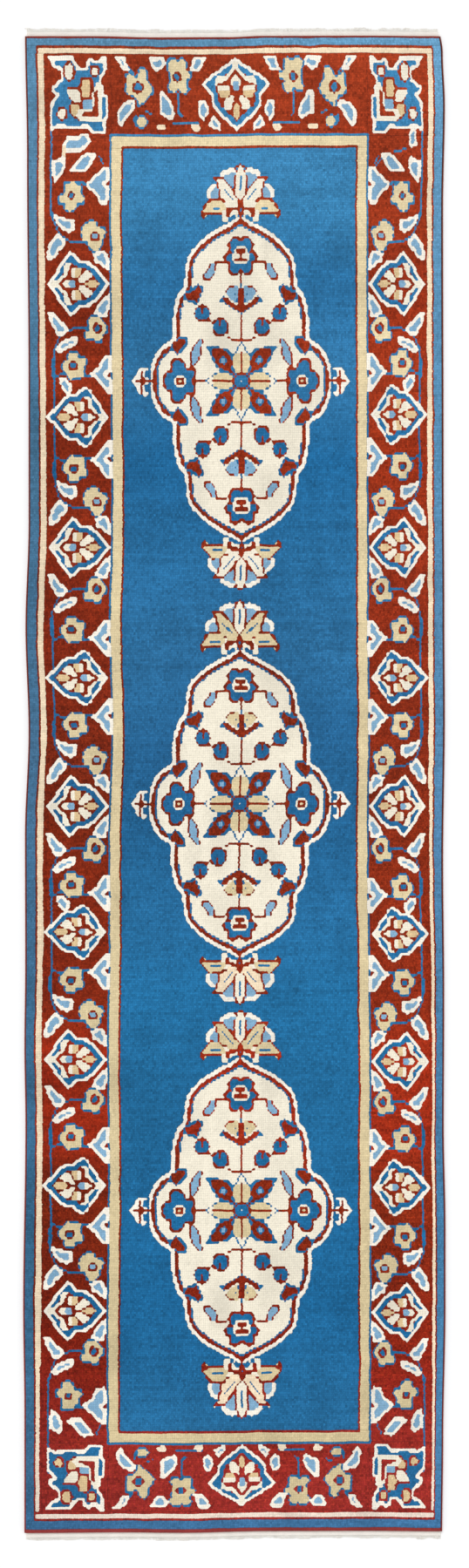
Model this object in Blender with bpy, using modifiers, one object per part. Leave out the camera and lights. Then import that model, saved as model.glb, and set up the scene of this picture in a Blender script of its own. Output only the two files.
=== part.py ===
"""Hand-knotted runner rug: the plain solids of its ground weave, pile areas, edges and ends.

Metres, +Z up. The underside lies at Z = 0 and the length runs along Y. Each area of the pattern
is its own slab of pile on the woven ground, and neighbours keep a gap of 0.3 mm.
"""

import math

import bpy

# Overall size
WIDTH = 0.800
LENGTH = 2.8966
GROUND_THICK = 0.0030
PILE_TOP = 0.0110
GAP = 0.0003

# Long edges: a cotton cord inside a sleeve of overcast wool
SELVEDGE_OUTER = 0.0032
SELVEDGE_WALL = 0.0006
SELVEDGE_SIDES = 16

# Ends: a flat woven band, then the cut warp ends
KILIM_LENGTH = 0.0085
KILIM_THICK = 0.0024
FRINGE_LENGTH = 0.0080
FRINGE_THICK = 0.0018
FRINGE_SPINE = 0.0012
TUFT_PITCH = 0.0080
TUFT_WIDTH = 0.0062
TUFT_TAPER = 0.0010

# Widths of the bands of pile, from the rug's edge inwards, as (left, right, far, near)
END_ROW = (0.0, 0.0, 0.0040, 0.0070)
OUTER_BAND = (0.0190, 0.0150, 0.0140, 0.0160)
OUTER_GUARD = (0.0150, 0.0125, 0.0150, 0.0175)
MAIN_BORDER = (0.1285, 0.1165, 0.1580, 0.1310)
INNER_GUARD = (0.0215, 0.0210, 0.0230, 0.0220)

# The drawing of the field is laid out in knots: this is the size of one knot
KNOT_WIDTH = 0.00370
ROW_FAR = 0.00462
ROW_MIDDLE = 0.00436
ROW_NEAR = 0.00432

# Medallions: name, centre Y, row height and how far the rows of the far and the near pendant stretch
MEDALLION_X = 0.0130
MEDALLIONS = (
    ("far", 0.7740, ROW_FAR, (0.97, 0.92)),
    ("middle", -0.0380, ROW_MIDDLE, (0.95, 0.90)),
    ("near", -0.8165, ROW_NEAR, (0.92, 1.08)),
)

# One quarter of a medallion's edge in knots and rows, from its tip round to its side
MEDALLION_TIP = 68
MEDALLION_QUARTER = (
    (0, MEDALLION_TIP),
    (2.5, 67.2),
    (5.5, 65.6),
    (10.8, 63.2),
    (15.3, 61.1),
    (18.3, 59.3),
    (21.7, 56.9),
    (25, 54.1),
    (26.8, 51.7),
    (28.2, 48.5),
    (28.9, 44.5),
    (29.2, 39.5),
    (32.9, 35.7),
    (35.2, 30),
    (35.8, 24),
    (35.6, 17.8),
    (39.4, 15.7),
    (42.4, 13.3),
    (44.6, 10.3),
    (46.2, 7.2),
    (46.9, 3.8),
    (47, 0),
)

# The right half of a pendant palmette, from the tip of its fan down to its foot, in knots and
# rows from its middle, which is a stretch of PENDANT_BASE beyond the row PENDANT_START
PENDANT_START = 66
PENDANT_BASE = 7.5
PENDANT_HALF = (
    (0, 17.6),
    (2.6, 15.8),
    (5, 15.7),
    (8, 14.8),
    (10.6, 13),
    (14.5, 12),
    (14.2, 8.8),
    (16, 7.6),
    (17.6, 5.5),
    (17.9, 0.4),
    (20.3, -2.8),
    (20.5, -5),
    (19, -7.3),
    (17.3, -5),
    (9.4, -5),
    (9.2, -8),
    (6, -7.4),
    (2.5, -5.4),
    (0, -4.5),
)

# The upper half of a side finial, from its foot out to its tip
FINIAL_BASE = 47.6
FINIAL_HALF = (
    (0, 0),
    (0, 5.9),
    (4.6, 5.9),
    (6.6, 4.4),
    (7, 1.8),
    (9.4, 0),
)

# Wool and cotton colours, as sRGB
BLUE_WOOL = (0.22, 0.50, 0.70)
RED_WOOL = (0.66, 0.23, 0.13)
DARK_RED_WOOL = (0.52, 0.16, 0.13)
IVORY_WOOL = (0.95, 0.90, 0.80)
BEIGE_WOOL = (0.86, 0.78, 0.60)
COTTON = (0.88, 0.85, 0.79)
WOOL_ROUGHNESS = 0.95


def clear_scene():
    for obj in list(bpy.data.objects):
        bpy.data.objects.remove(obj, do_unlink=True)


def linear(channel):
    return channel / 12.92 if channel <= 0.04045 else ((channel + 0.055) / 1.055) ** 2.4


def yarn_material(name, srgb):
    material = bpy.data.materials.new(name)
    material.use_nodes = True
    shader = material.node_tree.nodes["Principled BSDF"]
    shader.inputs["Base Color"].default_value = (*map(linear, srgb), 1.0)
    shader.inputs["Roughness"].default_value = WOOL_ROUGHNESS
    shader.inputs["Metallic"].default_value = 0.0
    return material


def make_materials():
    return {
        "blue": yarn_material("blue_wool", BLUE_WOOL),
        "red": yarn_material("red_wool", RED_WOOL),
        "dark_red": yarn_material("dark_red_wool", DARK_RED_WOOL),
        "ivory": yarn_material("ivory_wool", IVORY_WOOL),
        "beige": yarn_material("beige_wool", BEIGE_WOOL),
        "cotton": yarn_material("cotton", COTTON),
    }


class Builder:
    """Keeps the collection that every part goes into, and the materials."""

    def __init__(self):
        self.parts = bpy.data.collections.new("runner_rug")
        bpy.context.scene.collection.children.link(self.parts)
        self.materials = make_materials()

    def adopt(self, obj, name, material):
        for collection in list(obj.users_collection):
            collection.objects.unlink(obj)
        self.parts.objects.link(obj)
        obj.name = name
        obj.data.name = name
        obj.data.materials.clear()
        obj.data.materials.append(self.materials[material])
        return obj

    def slab(self, name, material, box, low, high):
        """A flat slab over box, which is (left, right, near, far), from Z low to Z high."""
        left, right, near, far = box
        middle = ((left + right) / 2, (near + far) / 2, (low + high) / 2)
        bpy.ops.mesh.primitive_cube_add(size=1, location=middle)
        obj = bpy.context.object
        obj.scale = (right - left, far - near, high - low)
        bpy.ops.object.transform_apply(location=False, rotation=False, scale=True)
        return self.adopt(obj, name, material)

    def plate(self, name, material, loops, low, high):
        """A flat plate with the first loop as its outline and the others as holes in it."""
        curve = bpy.data.curves.new(name, "CURVE")
        curve.dimensions = "2D"
        curve.fill_mode = "BOTH"
        curve.extrude = (high - low) / 2
        for loop in loops:
            spline = curve.splines.new("POLY")
            spline.points.add(len(loop) - 1)
            for point, (x, y) in zip(spline.points, loop):
                point.co = (x, y, 0, 1)
            spline.use_cyclic_u = True
        obj = bpy.data.objects.new(name, curve)
        obj.location.z = (low + high) / 2
        bpy.context.scene.collection.objects.link(obj)
        return self.adopt(obj, name, material)

    def rod(self, name, material, x, radius, length, wall=None):
        """A straight rod along Y that lies on the floor, or a tube where a wall is given."""
        bpy.ops.mesh.primitive_cylinder_add(
            vertices=SELVEDGE_SIDES,
            radius=radius,
            depth=length,
            end_fill_type="NOTHING" if wall else "NGON",
            location=(x, 0, SELVEDGE_OUTER / 2),
            rotation=(math.pi / 2, 0, 0),
        )
        obj = bpy.context.object
        if wall:
            shell = obj.modifiers.new("wall", "SOLIDIFY")
            shell.thickness = wall
            shell.offset = -1
        return self.adopt(obj, name, material)


def shrink(box, widths):
    """The box that is left inside a band whose widths are (left, right, far, near)."""
    left, right, near, far = box
    return (left + widths[0], right - widths[1], near + widths[3], far - widths[2])


def inset(box):
    """The box of a pile slab, which stops half a gap short of each neighbour."""
    left, right, near, far = box
    half = GAP / 2
    return (left + half, right - half, near + half, far - half)


def offset_loop(loop, distance):
    """The loop, which runs anticlockwise, moved outwards by a distance along its mitres."""
    moved = []
    count = len(loop)
    for index, (x, y) in enumerate(loop):
        before = loop[index - 1]
        after = loop[(index + 1) % count]
        normals = []
        for (ax, ay), (bx, by) in ((before, (x, y)), ((x, y), after)):
            length = ((bx - ax) ** 2 + (by - ay) ** 2) ** 0.5
            normals.append(((by - ay) / length, (ax - bx) / length))
        (nx, ny), (mx, my) = normals
        scale = distance / (1 + nx * mx + ny * my)
        moved.append((x + (nx + mx) * scale, y + (ny + my) * scale))
    return moved


def anticlockwise(loop):
    area = sum(
        ax * by - bx * ay for (ax, ay), (bx, by) in zip(loop, loop[1:] + loop[:1])
    )
    return loop if area > 0 else loop[::-1]


def mirrored(half, axis):
    """A closed loop from a half whose two ends lie on the mirror line."""
    other = [((-x, y) if axis == "X" else (x, -y)) for x, y in half]
    return list(half) + other[-2:0:-1]


def placed(loop, x, y, row_height, flip_x=1, flip_y=1):
    """A loop drawn in knots, put at (x, y) in metres."""
    return anticlockwise(
        [(x + flip_x * u * KNOT_WIDTH, y + flip_y * v * row_height) for u, v in loop]
    )


def medallion_loop():
    top = list(MEDALLION_QUARTER)
    bottom = [(x, -y) for x, y in reversed(top[:-1])]
    return mirrored(top + bottom, "X")


def band(builder, name, material, outer, widths):
    """Four slabs of pile that run round outer, and the box left inside them."""
    inner = shrink(outer, widths)
    left, right, near, far = outer
    sides = {
        "far": (left, right, inner[3], far),
        "near": (left, right, near, inner[2]),
        "left": (left, inner[0], inner[2], inner[3]),
        "right": (inner[1], right, inner[2], inner[3]),
    }
    for side, box in sides.items():
        if box[1] > box[0] and box[3] > box[2]:
            pile(builder, f"{name}_{side}", material, box)
    return inner


def pile(builder, name, material, box):
    return builder.slab(name, material, inset(box), GROUND_THICK + GAP, PILE_TOP)


def main_border(builder, outer):
    """The four straight runs of the main border and its four corner squares."""
    inner = shrink(outer, MAIN_BORDER)
    columns = {"left": (outer[0], inner[0]), "right": (inner[1], outer[1])}
    rows = {"near": (outer[2], inner[2]), "far": (inner[3], outer[3])}
    for side, (left, right) in columns.items():
        pile(builder, f"border_pile_{side}", "red", (left, right, inner[2], inner[3]))
        for end, (near, far) in rows.items():
            pile(builder, f"corner_pile_{end}_{side}", "blue", (left, right, near, far))
    for end, (near, far) in rows.items():
        pile(builder, f"border_pile_{end}", "red", (inner[0], inner[1], near, far))
    return inner


def field(builder, box):
    """The field and the medallions, pendants and finials that are let into it."""
    holes = []

    def motif(name, material, loop):
        holes.append(offset_loop(loop, GAP))
        builder.plate(name, material, [loop], GROUND_THICK + GAP, PILE_TOP)

    for place, y, row_height, stretches in MEDALLIONS:
        shape = placed(medallion_loop(), MEDALLION_X, y, row_height)
        motif(f"medallion_pile_{place}", "ivory", shape)
        for end, flip, stretch in (("far", 1, stretches[0]), ("near", -1, stretches[1])):
            half = [(u, PENDANT_START + (v + PENDANT_BASE) * stretch) for u, v in PENDANT_HALF]
            shape = placed(mirrored(half, "X"), MEDALLION_X, y, row_height, flip_y=flip)
            motif(f"pendant_pile_{place}_{end}", "beige", shape)
        for side, flip in (("left", -1), ("right", 1)):
            half = [(u + FINIAL_BASE, v) for u, v in FINIAL_HALF]
            shape = placed(mirrored(half, "Y"), MEDALLION_X, y, row_height, flip_x=flip)
            motif(f"finial_pile_{place}_{side}", "ivory", shape)
    left, right, near, far = inset(box)
    outline = [(left, near), (right, near), (right, far), (left, far)]
    builder.plate("field_pile", "blue", [outline] + holes, GROUND_THICK + GAP, PILE_TOP)


def fringe(builder, name, root, direction, half_width):
    """A comb of cut warp ends, joined along a narrow spine at the woven band."""
    tip = root + direction * FRINGE_LENGTH
    spine = root + direction * FRINGE_SPINE
    count = int(2 * half_width / TUFT_PITCH)
    first = -count * TUFT_PITCH / 2
    loop = [(-half_width, root), (-half_width, spine)]
    for index in range(count):
        start = first + index * TUFT_PITCH + (TUFT_PITCH - TUFT_WIDTH) / 2
        end = start + TUFT_WIDTH
        loop += [(start, spine), (start + TUFT_TAPER, tip)]
        loop += [(end - TUFT_TAPER, tip), (end, spine)]
    loop += [(half_width, spine), (half_width, root)]
    builder.plate(name, "cotton", [anticlockwise(loop)], 0, FRINGE_THICK)


def ends(builder, pile_box, half_width):
    """The woven band and the fringe beyond each end of the pile."""
    for end, edge, direction in (("far", pile_box[3], 1), ("near", pile_box[2], -1)):
        start = edge + direction * GAP
        stop = start + direction * KILIM_LENGTH
        box = (-half_width, half_width, min(start, stop), max(start, stop))
        builder.slab(f"kilim_band_{end}", "cotton", box, 0, KILIM_THICK)
        fringe(builder, f"fringe_{end}", stop + direction * GAP, direction, half_width)


def selvedges(builder, pile_box):
    """The cotton edge cord and the wool wound over it, on each long side."""
    length = pile_box[3] - pile_box[2]
    middle = (pile_box[3] + pile_box[2]) / 2
    radius = SELVEDGE_OUTER / 2
    for side, sign in (("left", -1), ("right", 1)):
        x = sign * (WIDTH / 2 - radius)
        name = f"selvedge_overcasting_{side}"
        sleeve = builder.rod(name, "dark_red", x, radius, length, SELVEDGE_WALL)
        core = radius - SELVEDGE_WALL - GAP
        cord = builder.rod(f"selvedge_cord_{side}", "cotton", x, core, length)
        sleeve.location.y = middle
        cord.location.y = middle


def main():
    clear_scene()
    builder = Builder()
    end_length = KILIM_LENGTH + FRINGE_LENGTH + 2 * GAP
    half_width = WIDTH / 2 - SELVEDGE_OUTER - GAP
    half_length = LENGTH / 2 - end_length
    pile_box = (-half_width, half_width, -half_length, half_length)

    builder.slab("foundation_weave", "cotton", pile_box, 0, GROUND_THICK)
    inside = band(builder, "end_row_pile", "dark_red", pile_box, END_ROW)
    inside = band(builder, "outer_band_pile", "blue", inside, OUTER_BAND)
    inside = band(builder, "outer_guard_pile", "ivory", inside, OUTER_GUARD)
    inside = main_border(builder, inside)
    inside = band(builder, "inner_guard_pile", "beige", inside, INNER_GUARD)
    field(builder, inside)
    selvedges(builder, pile_box)
    ends(builder, pile_box, half_width)


main()
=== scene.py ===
"""Looks of the hand-knotted runner rug, built in the frame of its CAD model.

The rug is drawn knot by knot on a grid of 220 columns by 647 rows, and each area of pile is a
mesh with four faces to a knot. Column 0 is at the left edge and row 0 at the near end. Metres.
"""

import math

import bpy
import numpy as np
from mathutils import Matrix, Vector

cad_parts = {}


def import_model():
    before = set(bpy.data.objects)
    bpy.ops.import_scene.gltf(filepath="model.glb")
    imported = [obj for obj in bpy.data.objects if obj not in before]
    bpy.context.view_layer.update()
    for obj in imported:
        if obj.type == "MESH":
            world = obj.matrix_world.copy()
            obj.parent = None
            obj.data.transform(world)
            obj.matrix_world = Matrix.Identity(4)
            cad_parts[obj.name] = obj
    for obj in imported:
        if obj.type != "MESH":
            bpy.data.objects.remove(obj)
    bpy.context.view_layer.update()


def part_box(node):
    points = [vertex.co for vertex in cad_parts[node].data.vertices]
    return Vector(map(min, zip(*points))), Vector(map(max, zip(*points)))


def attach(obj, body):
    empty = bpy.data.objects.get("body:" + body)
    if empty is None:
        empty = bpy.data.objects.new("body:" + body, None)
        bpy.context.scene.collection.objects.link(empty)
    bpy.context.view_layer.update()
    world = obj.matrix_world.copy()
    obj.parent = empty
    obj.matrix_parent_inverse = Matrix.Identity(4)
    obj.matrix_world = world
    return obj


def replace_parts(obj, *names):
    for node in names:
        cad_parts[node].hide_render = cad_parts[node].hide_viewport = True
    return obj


# --- sizes, light and camera ---

SEED = 7
HALF_WIDTH = 0.400  # of the rug with its edges
HALF_LENGTH = 1.4483  # of the rug with its fringes
PILE_TOP = 0.011
BACKS_RAISED = 0.0002  # how far above the floor the backs of the knots lie

WRAP_PITCH = 0.0019  # from turn to turn of the overcasting
WRAP_STEPS = 4
WRAP_SIDES = 10
CORD_STEP = 0.003
CORD_SIDES = 9
CORD_TWIST = 0.012  # for a whole turn of the plies
WARP_PITCH = 0.0018
RIB_STEPS = 4
KILIM_PICKS = 9
PICK_STEPS = 2
STRAND_PITCH = 0.0005
STRAND_STEPS = 5
STRAND_SIDES = 5
STRAND_RADIUS = 0.00045

FIBRE_GRAIN = 620.0
PAINTED_HOLLOW_SHADE = 0.72  # painted shade: how dark the colour is painted low between the tufts
SKY = 0.83
LAMP_STRENGTH = 1.08
LAMP_SPREAD = 20  # degrees
LAMP_FROM = (-0.4, 0.35, 1.0)
FLOOR_SIDE = 24
FLOOR_SHADE = (0.93, 0.93, 0.93)
FLOOR_GAP = 0.0004
LENS = 200.0
SENSOR = 36.0
VIEW_X = 0.0017
VIEW_TALL = 3.0  # what the picture takes in, from top to bottom


# --- the drawing of the rug, knot by knot ---
MID, LIGHT, RED, CREAM, IVORY, WHITE, KHAKI, TAN, DARK, EDGE = range(10)

# Knots in each band as (left, right, far, near), from the outside in
END_KNOTS = (0, 0, 1, 2)
BAND_KNOTS = (5, 5, 3, 4)
LINE_KNOTS = (1, 1, 1, 1)
GUARD_KNOTS = (3, 3, 2, 3)
BORDER_KNOTS = (34, 34, 33, 30)
KHAKI_KNOTS = (5, 5, 4, 4)
COLUMNS, ROWS = 220, 647
PILE_BANDS = (
    ("end_row_pile", END_KNOTS),
    ("outer_band_pile", BAND_KNOTS),
    ("outer_guard_pile", (4, 4, 3, 4)),
    ("border_pile", (35, 35, 34, 31)),
    ("inner_guard_pile", (6, 6, 5, 5)),
)
BORDER_MIDDLE = 26.2  # columns from the edge to the middle of the main border
CORNER_FAR, CORNER_NEAR = 622.4, 25.6
STAR_COLUMN = 110.5
STAR_ROWS = (504.5, 322.5, 143.5)
PENDANT_START = 66  # rows from a medallion's middle to where its pendants begin
PENDANT_BASE = 7.5  # rows from there to a pendant's middle, before the pendant's stretch
# The petals' yarn and the stretch of the rows, by medallion and side
PENDANTS = {
    (0, 1): (IVORY, 0.97),
    (0, -1): (IVORY, 0.92),
    (1, 1): (KHAKI, 0.95),
    (1, -1): (CREAM, 0.9),
    (2, 1): (KHAKI, 0.92),
    (2, -1): (CREAM, 1.08),
}
FINIAL_STEP = 47.2


class Pen:
    """Draws on the knot grid in a motif's own knots, u across and v towards the far end."""

    def __init__(self, grid, column, row, flip_u=1, flip_v=1, rows=1.0, signs=((1, 1),)):
        self.grid = grid
        self.column = column
        self.row = row
        self.flip_u = flip_u
        self.flip_v = flip_v
        self.rows = rows
        self.signs = signs

    def with_signs(self, *signs):
        return Pen(self.grid, self.column, self.row, self.flip_u, self.flip_v, self.rows, signs)

    def mirror(self):
        return self.with_signs((1, 1), (-1, 1))

    def mirror_v(self):
        return self.with_signs((1, 1), (1, -1))

    def quarters(self):
        return self.with_signs((1, 1), (-1, 1), (1, -1), (-1, -1))

    def moved(self, u, v, flip_u=1, flip_v=1):
        column = self.column + self.flip_u * u
        row = self.row + self.flip_v * self.rows * v
        flip_u, flip_v = self.flip_u * flip_u, self.flip_v * flip_v
        return Pen(self.grid, column, row, flip_u, flip_v, self.rows, self.signs)

    def knots(self, points, margin, sign):
        """The knots near the points: their place in the grid, and their u and v."""
        su, sv = self.flip_u * sign[0], self.flip_v * sign[1]
        at = np.array(points, float)
        columns = self.column + su * at[:, 0]
        rows = self.row + sv * self.rows * at[:, 1]
        c = np.arange(
            max(0, int(columns.min() - margin)), min(COLUMNS, int(columns.max() + margin) + 2)
        )
        r = np.arange(max(0, int(rows.min() - margin)), min(ROWS, int(rows.max() + margin) + 2))
        u = (c + 0.5 - self.column) * su
        v = (r + 0.5 - self.row) * sv / self.rows
        return np.ix_(r, c), *np.meshgrid(u, v)

    def put(self, place, mask, yarn):
        patch = self.grid[place]
        patch[mask] = yarn
        self.grid[place] = patch

    def area(self, yarn, points, rims=()):
        """A filled outline. rims are (yarn, width) from the outline inwards."""
        for sign in self.signs:
            place, u, v = self.knots(points, 1, sign)
            if not u.size:
                continue
            mask = inside(points, u, v)
            self.put(place, mask, yarn)
            if not rims:
                continue
            away = distance(points, u, v, True)
            depth = sum(width for _, width in rims)
            for rim, width in reversed(rims):
                self.put(place, mask & (away <= depth), rim)
                depth -= width

    def line(self, yarn, points, width=1.0):
        for sign in self.signs:
            place, u, v = self.knots(points, width, sign)
            if u.size:
                self.put(place, distance(points, u, v, False) <= width / 2 + 0.01, yarn)

    def loop(self, yarn, points, width=1.0):
        self.line(yarn, list(points) + [points[0]], width)

    def disc(self, yarn, u0, v0, radius, radius_v=None):
        tall = radius_v or radius
        for sign in self.signs:
            place, u, v = self.knots([(u0 - radius, v0 - tall), (u0 + radius, v0 + tall)], 1, sign)
            if u.size:
                mask = ((u - u0) / radius) ** 2 + ((v - v0) / tall) ** 2 <= 1
                self.put(place, mask, yarn)

    def block(self, yarn, u0, v0, half_u, half_v):
        corners = [(u0 - half_u, v0 - half_v), (u0 + half_u, v0 + half_v)]
        for sign in self.signs:
            place, u, v = self.knots(corners, 1, sign)
            if u.size:
                self.put(place, (abs(u - u0) <= half_u) & (abs(v - v0) <= half_v), yarn)


def inside(points, u, v):
    found = np.zeros(u.shape, bool)
    for (au, av), (bu, bv) in zip(points, points[1:] + points[:1]):
        if av == bv:
            continue
        crosses = (av > v) != (bv > v)
        found ^= crosses & (u < (bu - au) * (v - av) / (bv - av) + au)
    return found


def distance(points, u, v, closed):
    nearest = np.full(u.shape, 1e9)
    for (au, av), (bu, bv) in zip(points, points[1:] + (points[:1] if closed else [])):
        du, dv = bu - au, bv - av
        along = ((u - au) * du + (v - av) * dv) / max(du * du + dv * dv, 1e-9)
        along = np.clip(along, 0, 1)
        nearest = np.minimum(nearest, np.hypot(u - au - along * du, v - av - along * dv))
    return nearest


def ground(grid):
    """The plain bands from the outside in, and the field."""
    left, right, far, near = 0, COLUMNS, ROWS, 0
    grid[:] = DARK
    for yarn, knots in (
        (EDGE, END_KNOTS),
        (RED, BAND_KNOTS),
        (CREAM, LINE_KNOTS),
        (RED, GUARD_KNOTS),
        (MID, BORDER_KNOTS),
        (KHAKI, LINE_KNOTS),
        (RED, KHAKI_KNOTS),
        (MID, LINE_KNOTS),
    ):
        left, right = left + knots[0], right - knots[1]
        far, near = far - knots[2], near + knots[3]
        grid[near:far, left:right] = yarn
    guard_row = END_KNOTS[3] + BAND_KNOTS[3] + LINE_KNOTS[3] + 2
    grid[guard_row, 6 : COLUMNS - 6] = RED
    grid[guard_row : guard_row + 66, 8] = RED
    grid[guard_row : guard_row + 320, COLUMNS - 9] = RED


MEDALLION_EDGE = (
    (0, 68), (2.5, 67.2), (5.5, 65.6), (10.8, 63.2), (15.3, 61.1), (18.3, 59.3), (21.7, 56.9),
    (25, 54.1),
    (26.8, 51.7), (28.2, 48.5), (28.9, 44.5), (29.2, 39.5), (32.3, 35.7), (34.6, 30), (35.2, 24),
    (35, 17.8),
    (39.4, 15.7), (42.4, 13.3), (44.6, 10.3), (46.2, 7.2), (46.9, 3.8), (47, 0),
)
PENDANT_HALF = (
    (0, 17.6), (2.6, 15.8), (5, 15.7), (8, 14.8), (10.6, 13), (14.5, 12), (14.2, 8.8), (16, 7.6),
    (17.6, 5.5), (17.9, 0.4), (20.3, -2.8), (20.5, -5), (19, -7.3), (17.3, -5), (9.4, -5),
    (9.2, -8.2), (6, -7.4), (2.5, -5.4), (0, -4.5),
)
FINIAL_EDGE = [
    (0, 5.3), (4.4, 5.9), (6.3, 4.5), (6.8, 2.2), (9.5, 0), (6.8, -2.2), (6.3, -4.7), (3, -6.4),
    (0, -5.8),
]


def all_round(quarter):
    """A closed outline from the quarter that runs from the far tip to the right side."""
    right = list(quarter) + [(u, -v) for u, v in reversed(quarter[:-1])]
    return right + [(-u, v) for u, v in right[-2:0:-1]]


def both_halves(half):
    """A closed outline from its right half, which starts and ends on the middle line."""
    return list(half) + [(-u, v) for u, v in half[-2:0:-1]]


def both_sides(side):
    """A closed outline from its upper side, which starts and ends on the axis v = 0."""
    return list(side) + [(u, -v) for u, v in side[-2:0:-1]]


BLOOM_UPPER = [
    (-5.8, 5.6), (-2.2, 6.9), (0.7, 6.4), (1.4, 4.7), (5, 4), (6.2, 1.8), (5, -0.7), (4.1, -3.6),
    (2.7, -5.8), (-0.4, -6.9), (-3.6, -5.4), (-4.2, -3.2), (-6.7, -2.2), (-8, 1.5), (-7.2, 3.6),
]
BLOOM_LOWER = [
    (-3.8, 4.9), (-1.6, 5.5), (2.9, 4.7), (3.4, 3.1), (5.9, 1.7), (5.9, -2.3), (3.4, -3), (2.9, -6),
    (-0.2, -6.6), (-2.5, -5.2), (-5.2, -5.6), (-7.6, -3.4), (-7, -1.2), (-4.7, -0.2), (-5.2, 2.4),
]
BLOOM_WIDE = [
    (-1.6, 6.2), (2.6, 6.2), (3, 4.4), (6.7, 3.7), (7.8, 1), (6, -0.9), (6.7, -4.6), (3.3, -5.9),
    (-1.6, -6.2), (-3.9, -4), (-6.1, -2), (-6.5, 1.3), (-3.9, 2.8), (-3.1, 5.2),
]
BLOOM_TALL = [
    (-3.9, 6.2), (2.9, 6.6), (3.6, 4.8), (6.3, 4.4), (6, 1.1), (7.6, -0.7), (6.9, -3.4),
    (3.8, -3.6),
    (2.9, -6.1), (-0.7, -7.4), (-3.4, -6.5), (-3.9, -3.9), (-6.6, -3.6), (-7, 0.4), (-4.3, 1.1),
]
BLOOM_FIVE = [
    (-5.3, 6.6), (-3.9, 8.1), (-1, 8.1), (0.3, 7), (1.8, 8), (4.6, 7.8), (5.6, 5.8), (5, 2.9),
    (7.4, 1.8),
    (7.6, -0.8), (5.4, -1.8), (6.2, -5), (4.4, -7.2), (1.2, -7), (0, -5.6), (-1.6, -7),
    (-4.7, -6.8),
    (-5.8, -4), (-4.4, -2.2), (-4.6, 2.4), (-5.7, 4),
]
BLOOM_STAR = [
    (2.7, 9.3), (4.9, 8.1), (5.3, 3.6), (7.2, 1.5), (8.3, -0.6), (7.6, -2.7), (5.7, -3.9),
    (4.2, -6),
    (1.9, -6.9), (0.8, -8.6), (-1.5, -8.3), (-1.1, -5.7), (-2.6, -3.9), (-5.6, -3.3), (-6.9, -0.9),
    (-6.3, 2.7), (-6.7, 5.7), (-4.5, 6.6), (-1.1, 4.8), (0.8, 8.1),
]


def bloom(pen, u, v, edge, ring=2.7, centre=1.4, blue=MID):
    """A khaki flower with a thin blue edge and a red ring round its centre."""
    at = pen.moved(u, v)
    at.area(KHAKI, edge, [(MID, 0.85)])
    at.disc(RED, 0, 0, ring, ring * 0.85)
    at.disc(blue, 0, 0, centre, centre * 0.9)


def star(pen):
    four = pen.quarters()
    shade = [
        (1, 1.5), (4.4, 4.6), (3.9, 7.3), (4.3, 10.5), (6.4, 12.9), (10, 13.9), (18.4, 14.5),
        (16.3, 11.3),
        (14.6, 8.2), (12.9, 5.8), (10, 4), (7, 3.3), (5, 2), (2, 0.5),
    ]
    petal = [
        (2, 2), (5.3, 5), (4.9, 7.5), (5.4, 10), (7.3, 12.2), (10, 13), (16.3, 13.8), (15.3, 11.3),
        (13.6, 8.4), (11.9, 6.4), (9.6, 5), (7.2, 4.4), (5, 3), (3, 1.5),
    ]
    four.area(MID, shade)
    up, across = pen.mirror_v(), pen.mirror()
    up.area(MID, both_halves([
        (0, 16.8), (2.2, 14.5), (3.3, 11.8), (5.3, 10.3), (5.3, 5), (3, 2), (0, 1),
    ]))
    across.area(MID, both_sides([(3, 0), (5, 3.6), (9, 4.6), (13, 3.6), (16.5, 1.6), (19, 0)]))
    up.area(IVORY, both_halves([(0, 15.6), (1.4, 14.3), (2.4, 11.5), (0, 10)]))
    across.area(IVORY, both_sides([(14, 0), (14.3, 2), (16.5, 0.8), (17.6, 0)]))
    four.area(RED, petal)
    up.area(KHAKI, both_halves([(0, 11.8), (2.6, 11.4), (4.5, 10), (4.6, 6.3), (3, 3.5), (0, 2)]))
    across.area(KHAKI, [
        (3.5, 0), (5, 2.3), (9, 3.7), (12.5, 3.1), (14.8, 1.6), (14.8, -1.6), (12.5, -3.1),
        (9, -3.7), (5, -2.3),
    ])
    four.disc(MID, 9.3, 8.6, 1.9, 1.7)
    four.disc(LIGHT, 9.3, 8.6, 1.3, 1.2)
    up.line(RED, [(0, 3), (0, 11.6)])
    across.line(RED, [(3, 0), (14.6, 0)])
    pen.disc(RED, 0, 0, 4.6, 3.9)
    pen.disc(MID, 0, 0, 3.3, 2.8)
    pen.disc(WHITE, 0, 0, 0.7, 0.6)


END_FLOWER = (
    (0, 5.9), (1.4, 7.1), (4, 7.2), (5.9, 5.4), (6.6, 3.8), (5.9, 2.1), (5.3, 0.8), (7, 0.8),
    (8.6, -0.7), (8.2, -2.5), (6.3, -3.3), (6.4, -4.7), (5.9, -6.8), (4, -7.8), (1.4, -7.3),
    (0, -5.9),
)
SIDE_FLOWER = (
    (8.9, 0), (8.4, 1.6), (6.7, 3.7), (4.5, 4.6), (4.9, 6.8), (2.9, 8.9), (-0.2, 8.9), (-2.5, 7.2),
    (-3.1, 5.1), (-6.9, 5.1), (-7.5, 2), (-6.6, 0),
)
FLOWER_EYE = [
    (-2.7, 3.4), (2.7, 3.4), (4.3, 0.6), (4.3, -2), (3, -3.4), (-3, -3.4), (-4.3, -2), (-4.3, 0.6),
]


def end_flower(pen):
    """The blue flower near a medallion's far or near tip."""
    pen.area(MID, both_halves(END_FLOWER))
    pen.loop(RED, both_halves(END_FLOWER), 1.15)
    pen.area(IVORY, FLOWER_EYE)
    pen.block(RED, 0, 1.6, 2.4, 1.1)
    pen.block(RED, 0, -1.7, 3.3, 0.9)
    pen.block(RED, 0, 0, 0.8, 1.2)


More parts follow.
